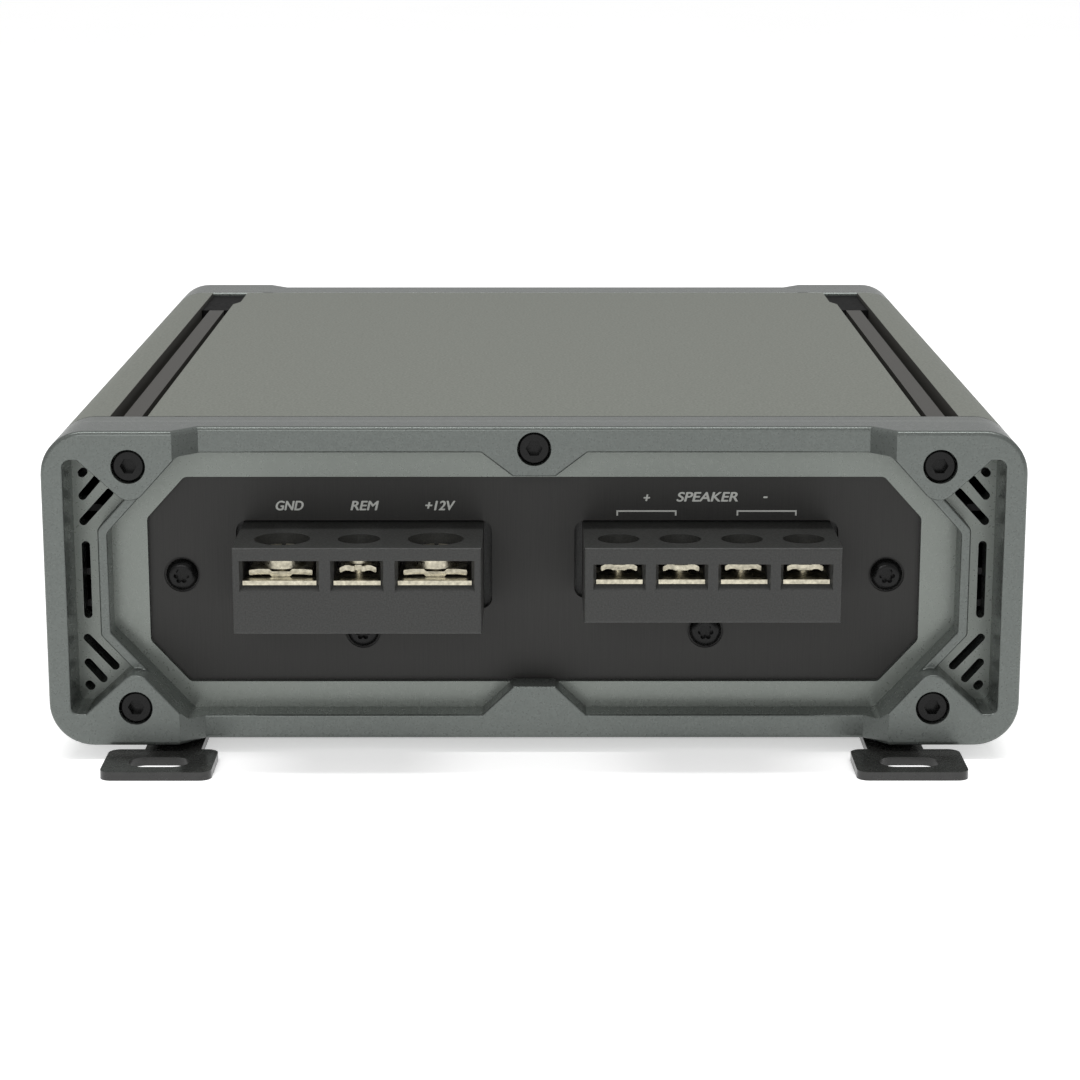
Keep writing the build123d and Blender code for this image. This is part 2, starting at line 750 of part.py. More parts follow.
def block_cut_outline(spec):
    """The panel's cut-out around a terminal block."""
    low = body_bottom + block_top_from_bottom - spec["height"] - block_cut_bottom_gap
    high = body_bottom + block_top_from_bottom + block_cut_top_gap
    return Pos(spec["x"], (low + high) / 2) * RectangleRounded(
        spec["width"] + 2 * block_cut_side_gap, high - low, block_cut_corner)


def make_front_panel():
    panel = make_panel_blank()
    for spec in (power, speaker):
        panel -= prism(block_cut_outline(spec), panel_front - 1, panel_rear + 1)
    return panel


# ---- Terminal blocks ----------------------------------------------------------------
def terminal_places(spec):
    count = len(spec["openings"])
    return [spec["x"] + (index - (count - 1) / 2) * spec["pitch"] for index in range(count)]


def mouth_bevel(x, half, floor, ceiling):
    """The slanted sides of an opening, wide at the housing's face."""
    low = floor - contact_thickness
    outer = Polygon((-half - lip_side, low - lip_bottom), (half + lip_side, low - lip_bottom),
                    (half + lip_side, ceiling), (-half - lip_side, ceiling), align=None)
    inner = Polygon((-half, low), (half, low), (half, ceiling - 0.05), (-half, ceiling - 0.05), align=None)
    return loft([Plane.XZ.offset(-block_front) * Pos(x, 0) * outer,
                 Plane.XZ.offset(-block_front - lip_depth) * Pos(x, 0) * inner])


def contact_half(opening):
    """Half the width of a contact bar, where it runs back to the board."""
    return min(opening, contact_bar_width) / 2


def make_terminal_block(spec):
    """A moulded housing with a wire opening and a screw access hole per terminal."""
    top = body_bottom + block_top_from_bottom
    low = top - spec["height"]
    floor = body_bottom + spec["floor"]
    ceiling = body_bottom + spec["ceiling"]
    left = spec["x"] - spec["width"] / 2
    right = spec["x"] + spec["width"] / 2
    housing = block((left, right), (block_front, panel_rear), (low, top))
    housing = fillet(housing.faces().sort_by(Axis.Y)[0].edges(), block_edge_round)
    housing += block((left - block_flange, right + block_flange), (panel_rear, block_rear),
                     (board_top, top + 2))
    lug_x = math.copysign(low_screw_x, spec["x"])
    housing -= rod_y(lug_x, body_bottom + low_screw_from_bottom, screw_core_radius,
                     panel_rear - 1, panel_rear + block_screw_depth)
    for x, opening, head, shank in zip(
            terminal_places(spec), spec["openings"], spec["head"], spec["shank"]):
        half = opening / 2
        bar = contact_half(opening)
        housing -= block((x - half, x + half), (block_front - 1, opening_rear),
                         (floor - contact_thickness, ceiling))
        housing -= mouth_bevel(x, half, floor, ceiling)
        housing -= rod_z(x, access_y, head + access_clearance, ceiling - 1, top + 1)
        housing -= rod_z(x, access_y, shank + shank_well_clearance,
                         floor - terminal_shank_below - 1, floor)
        housing -= block((x - bar, x + bar), (opening_rear - 1, contact_turn),
                         (floor - contact_thickness, floor))
        housing -= block((x - bar, x + bar), (contact_turn - contact_thickness, contact_turn),
                         (board_top - 1, floor))
    return housing


def make_contact(spec, index):
    """A bar under the clamp that runs back through the housing and down to the board."""
    x = terminal_places(spec)[index]
    opening = spec["openings"][index]
    floor = body_bottom + spec["floor"]
    low = floor - contact_thickness
    half = opening / 2
    bar = contact_half(opening)
    contact = block((x - half, x + half), (block_front + contact_front_gap, opening_rear), (low, floor))
    contact += block((x - bar, x + bar), (opening_rear - 1, contact_turn), (low, floor))
    contact += block((x - bar, x + bar), (contact_turn - contact_thickness, contact_turn),
                     (board_top, floor))
    hole = spec["shank"][index] + shaft_clearance
    return contact - rod_z(x, access_y, hole, low - 1, floor + 1)


def make_clamp(spec, index):
    """A pressed washer plate under the screw's head, with two crests and a dip between them."""
    x = terminal_places(spec)[index]
    half = spec["openings"][index] / 2 - clamp_side_gap
    low = body_bottom + spec["floor"] + spec["lift"][index]
    tip = low + spec["tip"][index]
    middle = low + spec["middle"][index]
    crest = low + clamp_crest
    foot_half = min(clamp_foot_half, half / 3)
    right = [(foot_half, middle), (foot_half + clamp_step, crest), (0.7 * half, crest), (half, tip)]
    underside = [(-across, level) for across, level in reversed(right)] + right
    topside = [(across, level + clamp_thickness) for across, level in reversed(underside)]
    side_view = outline_of(underside + topside, clamp_corner_round)
    front = access_y - clamp_depth / 2
    clamp = prism(Pos(x, 0) * side_view, front, front + clamp_depth)
    notch = spec["notch"][index]
    if notch > 0:
        clamp -= block((x - notch / 2, x + notch / 2), (front - 1, front + clamp_notch_depth),
                       (low - 1, crest + clamp_thickness + 1))
    hole = spec["shank"][index] + clamp_hole_clearance
    return clamp - rod_z(x, access_y, hole, low - 5, low + 5)


def clamp_crown(spec, index):
    """Height of the top of a clamp, which carries the screw's head."""
    return body_bottom + spec["floor"] + spec["lift"][index] + clamp_crest + clamp_thickness


def make_terminal_screw(spec, index):
    """A pan-head screw with a slot and a cross, standing in its access hole."""
    x = terminal_places(spec)[index]
    radius = spec["head"][index]
    seat = clamp_crown(spec, index) + thread_clearance
    top = seat + spec["head_height"][index]
    head = rod_z(x, access_y, radius, seat, top)
    head = fillet(head.faces().sort_by(Axis.Z)[-1].edges(), terminal_head_round)
    shank_low = body_bottom + spec["floor"] - terminal_shank_below + spec["lift"][index]
    screw = head + rod_z(x, access_y, spec["shank"][index], shank_low, seat)
    for along, across in ((0.6 * radius, terminal_slot_width / 2), (terminal_slot_width / 2, 2 * radius)):
        screw -= block((x - along, x + along), (access_y - across, access_y + across),
                       (top - terminal_slot_depth, top + 1))
    return screw


# ---- Inside -------------------------------------------------------------------------
def standoff_places():
    x = inside_half - ledge_width - standoff_from_ledge
    y = core_length / 2 - standoff_from_end
    return [(side * x, place) for side in (1, -1) for place in (-y, 0, y)]


def make_board():
    half_x = inside_half - board_side_gap
    half_y = core_length / 2 - board_end_gap
    board = block((-half_x, half_x), (-half_y, half_y), (board_bottom, board_top))
    for x, y in standoff_places():
        board -= rod_z(x, y, screw_pass_radius, board_bottom - 1, board_top + 1)
    return board


def make_standoffs():
    posts = []
    for x, y in standoff_places():
        post = rod_z(x, y, standoff_radius, inside_floor, board_bottom)
        posts.append(post - rod_z(x, y, screw_core_radius, inside_floor - 1, board_bottom + 1))
    return group(posts)


def make_board_screws():
    screws = []
    for x, y in standoff_places():
        screw = rod_z(x, y, button_head_radius, board_top, board_top + button_head_height)
        screw = fillet(screw.faces().sort_by(Axis.Z)[-1].edges(), board_screw_head_round)
        screw += rod_z(x, y, screw_shank_radius, inside_floor + board_screw_end, board_top)
        screws.append(screw)
    return group(screws)


def make_capacitors():
    cans = []
    for row in range(2):
        for column in range(2):
            x = first_capacitor[0] + column * capacitor_spacing
            y = seam_y + first_capacitor[1] + row * capacitor_spacing
            can = rod_z(x, y, capacitor_radius, board_top, board_top + capacitor_height)
            cans.append(fillet(can.faces().sort_by(Axis.Z)[-1].edges(), capacitor_edge_round))
    return group(cans)


def toroid(x, y, low, outer, bore, height):
    ring = rod_z(x, y, outer, low, low + height) - rod_z(x, y, bore, low - 1, low + height + 1)
    return fillet(ring.edges().filter_by(GeomType.CIRCLE), winding_edge_round)


def wound_core(x, y, outer, bore, height):
    """A ferrite ring inside its copper winding."""
    core = toroid(x, y, board_top + winding_wrap, outer - winding_wrap, bore + winding_wrap,
                  height - 2 * winding_wrap)
    winding = toroid(x, y, board_top, outer, bore, height) - core
    return core, winding


def transistor_places():
    spread = (transistor_count - 1) / 2
    return [(index - spread) * transistor_pitch for index in range(transistor_count)]


def transistor_screw_places():
    places = transistor_places()
    return [(first + second) / 2 for first, second in zip(places, places[1:])]


def clamp_bar_height():
    return board_top + clamp_bar_lift


def inner_face(thickness_out, thickness):
    """Limits in X of a layer on the right inner wall."""
    return (inside_half - thickness_out - thickness, inside_half - thickness_out)


def mirrored(side, x_range):
    return tuple(sorted(side * x for x in x_range))


def transistor_limits(side, place, depth_in, depth):
    """Limits of a layer of one transistor's width and height, on an inner wall."""
    low = board_top + transistor_lift
    return (mirrored(side, inner_face(depth_in, depth)),
            (place - transistor_width / 2, place + transistor_width / 2),
            (low, low + transistor_body))


def make_transistors():
    parts = []
    for side in (1, -1):
        lead_x = mirrored(side, inner_face(pad_thickness + lead_from_pad, lead_thickness))
        for place in transistor_places():
            body = block(*transistor_limits(side, place, pad_thickness, transistor_thickness))
            for step in (-lead_pitch, 0, lead_pitch):
                body += block(lead_x, (place + step - lead_width / 2, place + step + lead_width / 2),
                              (board_top, board_top + transistor_lift))
            parts.append(body)
    return group(parts)


def make_pads():
    return group([block(*transistor_limits(side, place, 0, pad_thickness))
                  for side in (1, -1) for place in transistor_places()])


def make_clamp_bars():
    reach = transistor_places()[-1] + transistor_width / 2 + 2
    height = clamp_bar_height()
    bars = []
    for side in (1, -1):
        bar_x = mirrored(side, inner_face(pad_thickness + transistor_thickness, clamp_bar_thickness))
        bar = block(bar_x, (-reach, reach),
                    (height - clamp_bar_half_height, height + clamp_bar_half_height))
        for y in transistor_screw_places():
            bar -= rod_x(y, height, screw_pass_radius, bar_x[0] - 1, bar_x[1] + 1)
        bars.append(bar)
    return group(bars)


def make_clamp_screws():
    head_face = pad_thickness + transistor_thickness + clamp_bar_thickness
    head_x = inner_face(head_face, clamp_head_height)
    shank_x = (inside_half - head_face, inside_half + inner_wall)
    screws = []
    for side in (1, -1):
        for y in transistor_screw_places():
            screw = rod_x(y, clamp_bar_height(), button_head_radius, *mirrored(side, head_x))
            screw += rod_x(y, clamp_bar_height(), screw_shank_radius, *mirrored(side, shank_x))
            screws.append(screw)
    return group(screws)


# ---- Control end, drawn at the front and turned round -------------------------------
def rca_places():
    return [(rca_x - rca_pitch / 2, control_z), (rca_x + rca_pitch / 2, control_z)]


def light_places():
    return [(switch_x + side * light_half_spacing, control_z + light_lift) for side in (-1, 1)]


def around(x, z, half_width_x, half_height_z, y_range):
    """A box centred on a place of the control end."""
    return block((x - half_width_x, x + half_width_x), y_range, (z - half_height_z, z + half_height_z))


def make_rear_panel():
    """Drawn facing the front. Its left side is on the right once it is turned."""
    panel = make_panel_blank()
    through = (panel_front - 1, panel_rear + 1)
    collar = rca_sleeve_radius + rca_collar_step
    for place in rca_places():
        panel -= rod_y(*place, collar + rca_collar_clearance, *through)
    for x in control_x:
        panel -= rod_y(x, control_z, pot_shaft_radius + pot_shaft_hole_clearance, *through)
    panel -= around(remote_x, control_z, jack_half_width + control_hole_clearance,
                    jack_half_height + control_hole_clearance, through)
    lever_reach = switch_lever_half + switch_travel
    panel -= around(switch_x, control_z, switch_lever_half + 4 * control_hole_clearance,
                    lever_reach + 5 * control_hole_clearance, through)
    for place in light_places():
        panel -= rod_y(*place, light_radius + light_clearance, *through)
    return panel


def make_rca_block():
    places = rca_places()
    outer_front = panel_front - rca_sleeve_reach + rca_sleeve_wall
    body = block((places[0][0] - rca_block_half, places[1][0] + rca_block_half),
                 (panel_rear, board_front + rca_block_past_board), (board_top, control_z + rca_block_half))
    for place in places:
        body += rod_y(*place, rca_sleeve_radius - rca_sleeve_wall, outer_front, panel_rear + 1)
        body -= rod_y(*place, rca_socket_radius + rca_contact_wall, outer_front - 1,
                      panel_rear + rca_contact_reach)
    lug = low_screw_places()[0]
    return body - rod_y(*lug, screw_core_radius, panel_rear - 1, panel_rear + rca_lug_screw_depth)


def make_rca_sleeves():
    sleeves = []
    front = panel_front - rca_sleeve_reach
    for place in rca_places():
        sleeve = rod_y(*place, rca_sleeve_radius, front, panel_rear)
        sleeve = chamfer(sleeve.faces().sort_by(Axis.Y)[0].edges(), rca_mouth_chamfer)
        sleeve += rod_y(*place, rca_sleeve_radius + rca_collar_step, panel_front - rca_collar_front,
                        panel_rear)
        sleeves.append(sleeve - rod_y(*place, rca_sleeve_radius - rca_sleeve_wall, front - 1,
                                      panel_rear + 1))
    return group(sleeves)


def make_rca_contacts():
    contacts = []
    front = panel_front - rca_sleeve_reach + rca_contact_setback
    rear = panel_rear + rca_contact_reach
    for place in rca_places():
        tube = rod_y(*place, rca_socket_radius + rca_contact_wall, front, rear)
        contacts.append(tube - rod_y(*place, rca_socket_radius, front - 1, rear - rca_contact_floor))
    return group(contacts)


def make_pots():
    pots = []
    for x in control_x:
        pot = block((x - pot_half, x + pot_half),
                    (panel_rear + pot_panel_gap, board_front + pot_past_board),
                    (board_top, control_z + pot_above_shaft))
        pots.append(pot - rod_y(x, control_z, pot_shaft_radius + shaft_clearance, panel_rear - 1,
                                panel_rear + pot_shaft_reach + pot_panel_gap))
    return group(pots)


def make_knob(x):
    """A ribbed control knob with a pointer groove, on its own shaft."""
    front = panel_front - knob_height
    knob = rod_y(x, control_z, knob_radius, front, panel_front - knob_panel_gap)
    knob = fillet(knob.faces().sort_by(Axis.Y)[0].edges(), knob_edge_round)
    for index in range(knob_rib_count):
        angle = math.tau * (index + 0.5) / knob_rib_count
        knob -= rod_y(x + knob_radius * math.cos(angle), control_z + knob_radius * math.sin(angle),
                      knob_rib_radius, front + knob_rib_setback, panel_front)
    knob += rod_y(x, control_z, pot_shaft_radius, panel_front - 1, panel_rear + pot_shaft_reach)
    half = knob_pointer_width / 2
    return knob - block((x - half, x + half), (front - 1, front + knob_pointer_depth),
                        (control_z, control_z + knob_radius + 1))


def make_remote_jack():
    """A phone-type socket for the remote level control."""
    low = control_z - jack_half_height
    rear = board_front + jack_past_board
    socket_depth = (panel_front - 1, rear - jack_rear_wall)
    jack = around(remote_x, control_z, jack_half_width, jack_half_height, (panel_front - jack_proud, rear))
    inner_half = jack_half_width - jack_wall
    jack -= block((remote_x - inner_half, remote_x + inner_half), socket_depth,
                  (low + 2.3 * jack_wall, low + 2 * jack_half_height - 1.3 * jack_wall))
    jack -= block((remote_x - jack_latch_half, remote_x + jack_latch_half), socket_depth,
                  (low + 0.8 * jack_wall, control_z))
    jack += block((remote_x - jack_half_width, remote_x + jack_half_width), (panel_rear + 1, rear),
                  (board_top, low + 0.5 * jack_wall))
    return jack


def make_switch_body():
    body = block((switch_x - switch_half_width, switch_x + switch_half_width),
                 (panel_rear, board_front + switch_past_board),
                 (board_top, control_z + switch_above_middle))
    slot_half = switch_lever_half + switch_slot_clearance
    return body - around(switch_x, control_z, slot_half, slot_half + switch_travel,
                         (panel_rear - 1, panel_rear + switch_slot_depth))


def make_switch_lever():
    """The slider, drawn at the lower end of its travel."""
    lever = around(switch_x, control_z - switch_travel, switch_lever_half, switch_lever_half,
                   (panel_front - switch_lever_proud,
                    panel_rear + switch_slot_depth - switch_slot_clearance))
    return fillet(lever.faces().sort_by(Axis.Y)[0].edges(), switch_lever_round)


def make_light_pipes():
    pipes = []
    for place in light_places():
        pipe = rod_y(*place, light_radius, panel_front - light_proud, panel_rear + light_reach)
        pipes.append(fillet(pipe.faces().sort_by(Axis.Y)[0].edges(), light_end_round))
    return group(pipes)


# ---- The whole amplifier ------------------------------------------------------------
nodes = {}
nodes["heatsink_body"] = make_body()
nodes["channel_plugs"] = make_plugs()
nodes["bottom_plate"] = make_bottom_plate()
front_cap = make_front_cap()
nodes["front_end_cap"] = front_cap
nodes["rear_end_cap"] = turned(front_cap)
cap_screws = [socket_screw(place, cap_screw_face(place)) for place in cap_screw_places()]
nodes["front_cap_screws"] = group(cap_screws)
nodes["rear_cap_screws"] = group([turned(screw) for screw in cap_screws])

pocket_face = panel_front + panel_pocket_depth
side_reach = seam_y + screw_reach - pocket_face
low_reach = panel_rear + block_screw_depth - pocket_face
side_screws = [button_screw(place, pocket_face, side_reach) for place in side_screw_places()]
low_screws = [button_screw(place, pocket_face, low_reach) for place in low_screw_places()]
nodes["front_panel"] = make_front_panel()
nodes["front_panel_screws"] = group(side_screws + low_screws)
nodes["rear_panel"] = turned(make_rear_panel())
nodes["rear_panel_screws"] = group([turned(screw) for screw in side_screws + low_screws[:1]])

terminal_sets = (
    ("power", power, ("ground", "remote", "supply")),
    ("speaker", speaker, ("speaker_1", "speaker_2", "speaker_3", "speaker_4")),
)
for set_name, spec, names in terminal_sets:
    nodes[set_name + "_terminal_block"] = make_terminal_block(spec)
    contacts = [make_contact(spec, index) for index in range(len(names))]
    nodes[set_name + "_contact_bars"] = group(contacts)
    for index, name in enumerate(names):
        nodes[name + "_clamp"] = make_clamp(spec, index)
        nodes[name + "_screw"] = make_terminal_screw(spec, index)

foot = make_foot()
nodes["front_right_foot"] = foot
nodes["front_left_foot"] = mirror(foot, about=Plane.YZ)
nodes["rear_right_foot"] = mirror(foot, about=Plane.XZ)
nodes["rear_left_foot"] = turned(foot)
plate_low = body_bottom + plate_recess
nodes["foot_screws"] = group(
    [upward_screw(x, y, plate_low - foot_thickness) for x, y in foot_screw_places()])
nodes["bottom_plate_screws"] = group(
    [upward_screw(x, y, plate_low) for x, y in plate_screw_places()])

nodes["circuit_board"] = make_board()
nodes["board_standoffs"] = make_standoffs()
nodes["board_screws"] = make_board_screws()
nodes["bulk_capacitors"] = make_capacitors()
nodes["transformer_core"], nodes["transformer_winding"] = wound_core(
    *transformer_place, transformer_radius, transformer_bore, transformer_height)
nodes["inductor_core"], nodes["inductor_winding"] = wound_core(
    *inductor_place, inductor_radius, inductor_bore, inductor_height)
nodes["power_transistors"] = make_transistors()
nodes["thermal_pads"] = make_pads()
nodes["transistor_clamp_bars"] = make_clamp_bars()
nodes["transistor_clamp_screws"] = make_clamp_screws()

nodes["rca_jack_block"] = turned(make_rca_block())
nodes["rca_sleeves"] = turned(make_rca_sleeves())
nodes["rca_centre_contacts"] = turned(make_rca_contacts())
nodes["control_pots"] = turned(make_pots())
for name, x in zip(control_names, control_x):
    nodes[name + "_knob"] = turned(make_knob(x))
nodes["remote_level_jack"] = turned(make_remote_jack())
nodes["filter_switch_body"] = turned(make_switch_body())
nodes["filter_switch_lever"] = turned(make_switch_lever())
nodes["status_light_pipes"] = turned(make_light_pipes())

os.makedirs("parts", exist_ok=True)
for name, shape in nodes.items():
    export_step(shape, "parts/" + name + ".step")
print(len(nodes), "nodes")
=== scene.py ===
import math

import bmesh
import bpy
from mathutils import Matrix, Vector


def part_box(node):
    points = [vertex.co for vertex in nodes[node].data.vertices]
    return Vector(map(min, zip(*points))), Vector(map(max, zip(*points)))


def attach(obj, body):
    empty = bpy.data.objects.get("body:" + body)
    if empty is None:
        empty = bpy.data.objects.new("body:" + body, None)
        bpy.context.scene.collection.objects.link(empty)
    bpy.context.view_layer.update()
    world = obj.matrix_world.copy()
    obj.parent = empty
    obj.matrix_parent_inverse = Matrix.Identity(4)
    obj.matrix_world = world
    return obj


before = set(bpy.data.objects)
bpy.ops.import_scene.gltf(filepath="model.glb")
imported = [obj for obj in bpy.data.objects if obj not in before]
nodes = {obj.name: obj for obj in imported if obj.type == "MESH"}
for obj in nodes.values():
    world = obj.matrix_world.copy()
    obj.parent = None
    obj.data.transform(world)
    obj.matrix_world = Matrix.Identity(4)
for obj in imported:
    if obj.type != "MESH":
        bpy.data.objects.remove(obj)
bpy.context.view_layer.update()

# A car amplifier on a pale floor, seen from its terminal end. Metres, in the frame's axes:
# X across the front, Y from the terminal end to the control end, Z up.

scene = bpy.context.scene

MM = 0.001
NOISE_LOW = 0.3               # noise values mostly lie between these two
NOISE_HIGH = 0.7
UNIFORM = (1.0, 1.0, 1.0)


# ---- Materials ----------------------------------------------------------------------
class Surface:
    """A Principled material whose colour, roughness and relief come from noise in object space."""

    def __init__(self, name, colour, roughness, metallic=0.0, specular=0.5):
        self.material = bpy.data.materials.new(name)
        self.material.use_nodes = True
        self.tree = self.material.node_tree
        self.shader = self.tree.nodes["Principled BSDF"]
        self.shader.inputs["Base Color"].default_value = (*colour, 1.0)
        self.shader.inputs["Roughness"].default_value = roughness
        self.shader.inputs["Metallic"].default_value = metallic
        self.shader.inputs["Specular IOR Level"].default_value = specular
        self.colour = colour
        self.roughness = roughness
        self.coordinates = self.tree.nodes.new("ShaderNodeTexCoord").outputs["Object"]

    def noise(self, size, detail=2.0, stretch=UNIFORM):
        """A noise value whose grains are about size metres across, longer where stretch is above 1."""
        mapping = self.tree.nodes.new("ShaderNodeMapping")
        mapping.inputs["Scale"].default_value = [1.0 / (size * s) for s in stretch]
        self.tree.links.new(self.coordinates, mapping.inputs["Vector"])
        texture = self.tree.nodes.new("ShaderNodeTexNoise")
        texture.inputs["Scale"].default_value = 1.0
        texture.inputs["Detail"].default_value = detail
        self.tree.links.new(mapping.outputs["Vector"], texture.inputs["Vector"])
        return texture.outputs["Fac"]

    def colour_from(self, output):
        """Take the base colour from that output from now on."""
        self.tinted = output
        self.tree.links.new(output, self.shader.inputs["Base Color"])

    def vary_colour(self, fac, amount):
        """Swing the colour by a share either side of its own."""
        ramp = self.tree.nodes.new("ShaderNodeValToRGB")
        stops = ((NOISE_LOW, 1.0 - amount), (NOISE_HIGH, 1.0 + amount))
        for element, (position, share) in zip(ramp.color_ramp.elements, stops):
            element.position = position
            element.color = (*(min(1.0, c * share) for c in self.colour), 1.0)
        self.tree.links.new(fac, ramp.inputs["Fac"])
        self.colour_from(ramp.outputs["Color"])

    def calculate(self, operation, first, second=0.0):
        """One math node, fed by links or by plain numbers."""
        node = self.tree.nodes.new("ShaderNodeMath")
        node.operation = operation
        for socket, value in zip(node.inputs, (first, second)):
            if isinstance(value, bpy.types.NodeSocket):
                self.tree.links.new(value, socket)
            else:
                socket.default_value = value
        return node.outputs[0]

    def within(self, x_limits, y_limits, z_limits):
        """One where a point's distances from the origin lie between those limits, else zero."""
        split = self.tree.nodes.new("ShaderNodeSeparateXYZ")
        self.tree.links.new(self.coordinates, split.inputs["Vector"])
        inside = 1.0
        for socket, limits in zip(split.outputs, (x_limits, y_limits, z_limits)):
            distance = self.calculate("ABSOLUTE", socket)
            for operation, limit in zip(("GREATER_THAN", "LESS_THAN"), limits):
                passed = self.calculate(operation, distance, limit)
                inside = self.calculate("MULTIPLY", inside, passed)
        return inside

    def paint_over(self, colour, mask):
        """Lay another colour over the surface where the mask is one."""
        mix = self.tree.nodes.new("ShaderNodeMix")
        mix.data_type = "RGBA"
        self.tree.links.new(mask, mix.inputs["Factor"])
        self.tree.links.new(self.tinted, mix.inputs["A"])
        mix.inputs["B"].default_value = (*colour, 1.0)
        self.colour_from(mix.outputs["Result"])

    def vary_roughness(self, fac, swing):
        """Swing the roughness either side of its own."""
        spread = self.tree.nodes.new("ShaderNodeMapRange")
        spread.inputs["From Min"].default_value = NOISE_LOW
        spread.inputs["From Max"].default_value = NOISE_HIGH
        spread.inputs["To Min"].default_value = max(0.0, self.roughness - swing)
        spread.inputs["To Max"].default_value = min(1.0, self.roughness + swing)
        self.tree.links.new(fac, spread.inputs["Value"])
        self.tree.links.new(spread.outputs["Result"], self.shader.inputs["Roughness"])

    def bump(self, fac, height, strength):
        """Add relief of that height in metres."""
        node = self.tree.nodes.new("ShaderNodeBump")
        node.inputs["Distance"].default_value = height
        node.inputs["Strength"].default_value = strength
        self.tree.links.new(fac, node.inputs["Height"])
        self.tree.links.new(node.outputs["Normal"], self.shader.inputs["Normal"])


# Places on the body and the caps where shade or light is painted into the colour.
TOP_CHANNEL = (66.9 * MM, 74.1 * MM)      # from the middle, across
CHANNEL_BOTTOM = 4.2 * MM                 # below the top
CHANNEL_EDGE = 0.1 * MM
DUCT = (71.0 * MM, 81.1 * MM)             # from the middle, across
DUCT_INSET = 10.4 * MM                    # from the top and the bottom of the body
END_FACE = 0.05 * MM                      # depth of the body's end faces, hidden by the caps, where painted shade is laid
RECESS_FACES = (10.2 * MM, 9.6 * MM)      # the ring and the grille floors, behind the cap's face, painted lighter as painted light
# Painted shade: a near-black colour laid in the ducts and on the body's end faces, where they sit in
# shade.
PAINTED_SHADE = (0.012, 0.012, 0.012)


def cap_paint():
    """Satin metallic grey paint with a fine grain, with painted light making the recessed faces
    lighter.
    """
    s = Surface("cap_paint", (0.118, 0.130, 0.122), 0.30, 0.55)
    s.vary_colour(s.noise(0.3 * MM, 3.0), 0.14)
    low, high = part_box("front_end_cap")
    face = -low.y
    depths = (face - RECESS_FACES[0], face - RECESS_FACES[1])
    # Painted light: the recessed ring and grille floors get a lighter colour that lifts the shade they
    # sit in.
    painted_light_recess = s.within((-MM, high.x), depths, (0.0, high.z + MM))
    s.paint_over((0.180, 0.196, 0.180), painted_light_recess)
    s.vary_roughness(s.noise(0.6 * MM), 0.04)
    s.bump(s.noise(0.4 * MM, 2.0), 0.012 * MM, 0.35)
    return s.material


def body_paint():
    """Textured grey paint of the extruded body, with painted shade in the ducts, the top channels and
    on the end faces.
    """
    s = Surface("body_paint", (0.165, 0.174, 0.150), 0.55, 0.15)
    s.vary_colour(s.noise(0.45 * MM, 3.0), 0.22)
    s.bump(s.noise(0.4 * MM, 2.0), 0.012 * MM, 0.5)
    low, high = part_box("heatsink_body")
    all_along = (-MM, high.y)
    # Painted shade: the top channels are darkened where shade falls in them.
    channel_shade = s.within(TOP_CHANNEL, all_along, (high.z - CHANNEL_BOTTOM, high.z - CHANNEL_EDGE))
    s.paint_over((0.050, 0.048, 0.042), channel_shade)
    # Painted shade: the ducts are painted near-black where shade falls deep inside them.
    duct_shade = s.within(DUCT, all_along, (low.z + DUCT_INSET, high.z - DUCT_INSET))
    s.paint_over(PAINTED_SHADE, duct_shade)
    # Painted shade: the end faces seen through the caps' slots are painted near-black.
    end_face_shade = s.within((-MM, high.x), (high.y - END_FACE, high.y + MM), (0.0, high.z))
    s.paint_over(PAINTED_SHADE, end_face_shade)
    return s.material


def panel_paint():
    """Black panel with faint upright brushing."""
    s = Surface("panel_paint", (0.024, 0.0235, 0.022), 0.46, 0.0, 0.28)
    brushing = s.noise(0.12 * MM, 3.0, (1.0, 1.0, 60.0))
    s.vary_colour(brushing, 0.14)
    s.vary_roughness(brushing, 0.04)
    s.bump(brushing, 0.005 * MM, 0.3)
    return s.material


def terminal_plastic():
    """Dark moulded plastic with a sparkling texture."""
    s = Surface("terminal_plastic", (0.029, 0.0295, 0.028), 0.44, 0.0, 0.36)
    s.vary_colour(s.noise(0.28 * MM, 3.0), 0.30)
    s.vary_roughness(s.noise(0.5 * MM), 0.06)
    s.bump(s.noise(0.25 * MM, 3.0), 0.03 * MM, 0.7)
    return s.material


def plated_metal():
    """Nickel plating with a faint golden cast, mottled and slightly scratched."""
    s = Surface("plated_metal", (0.46, 0.43, 0.34), 0.34, 1.0)
    s.vary_colour(s.noise(0.7 * MM, 4.0), 0.30)
    s.vary_roughness(s.noise(0.4 * MM, 3.0, (6.0, 1.0, 1.0)), 0.12)
    s.bump(s.noise(0.5 * MM, 3.0), 0.05 * MM, 0.7)
    return s.material


def black_oxide():
    """Black oxide on steel screws."""
    s = Surface("black_oxide", (0.004, 0.004, 0.004), 0.26, 0.0, 0.2)
    s.vary_colour(s.noise(0.5 * MM, 3.0), 0.25)
    s.vary_roughness(s.noise(0.3 * MM), 0.08)
    s.bump(s.noise(0.35 * MM, 2.0), 0.01 * MM, 0.5)
    return s.material


def powder_coat():
    """Semi-gloss black powder coat of the feet and the bottom plate."""
    s = Surface("powder_coat", (0.020, 0.020, 0.019), 0.26)
    s.vary_colour(s.noise(2 * MM), 0.15)
    s.vary_roughness(s.noise(1.5 * MM), 0.05)
    s.bump(s.noise(0.9 * MM, 1.0), 0.02 * MM, 0.5)
    return s.material


def moulded(name, colour, roughness, specular=0.5):
    """Plain moulded plastic with a slight texture."""
    s = Surface(name, colour, roughness, 0.0, specular)
    s.vary_colour(s.noise(0.6 * MM), 0.12)
    s.vary_roughness(s.noise(1.0 * MM), 0.05)
    s.bump(s.noise(0.4 * MM), 0.015 * MM, 0.5)
    return s.material


